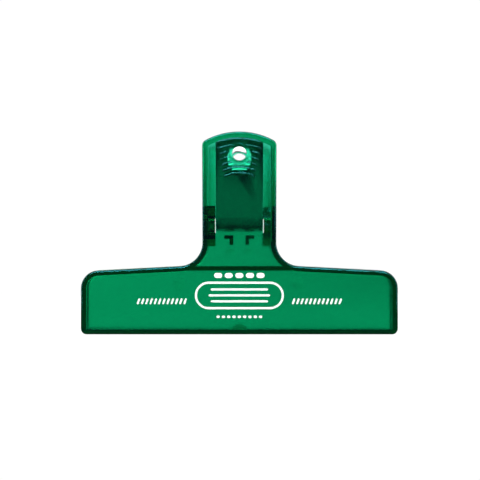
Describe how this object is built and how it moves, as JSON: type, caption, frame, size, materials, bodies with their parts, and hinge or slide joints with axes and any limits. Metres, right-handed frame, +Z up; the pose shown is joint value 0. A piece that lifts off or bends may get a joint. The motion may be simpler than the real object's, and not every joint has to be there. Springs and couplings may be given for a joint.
{
  "type": "spring clip",
  "caption": "Wide spring clip for papers: clear green plastic levers hooked together on moulded axles, held shut by a hairpin leaf spring.",
  "frame": {"origin": "on the closing plane between the jaws, at the middle of their bottom edges, where the clip stands", "axes": "+X along the jaws, -Y is the front face, +Z up from the jaws' lips to the handles' ends"},
  "size_m": [0.15, 0.0374, 0.0945],
  "materials": {
    "clear_green_plastic": "polished, transparent, injection moulded polystyrene",
    "spring_steel": "bright rolled spring strip",
    "white_ink": "white pad-printed ink"
  },
  "bodies": {
    "rear_body": {"rear_lever": "clear_green_plastic", "leaf_spring": "spring_steel"},
    "front_body": {"front_lever": "clear_green_plastic", "front_print": "white_ink"}
  },
  "joints": [
    {"name": "jaw_hinge", "type": "hinge", "parent": "rear_body", "child": "front_body", "pos_m": [0, 0, 0.0513], "axis": [-1, 0, 0], "range_deg": [0, 25], "stiffness_Nm_per_rad": 0.7, "springref_deg": -45.84, "deforming": ["leaf_spring"]}
  ]
}
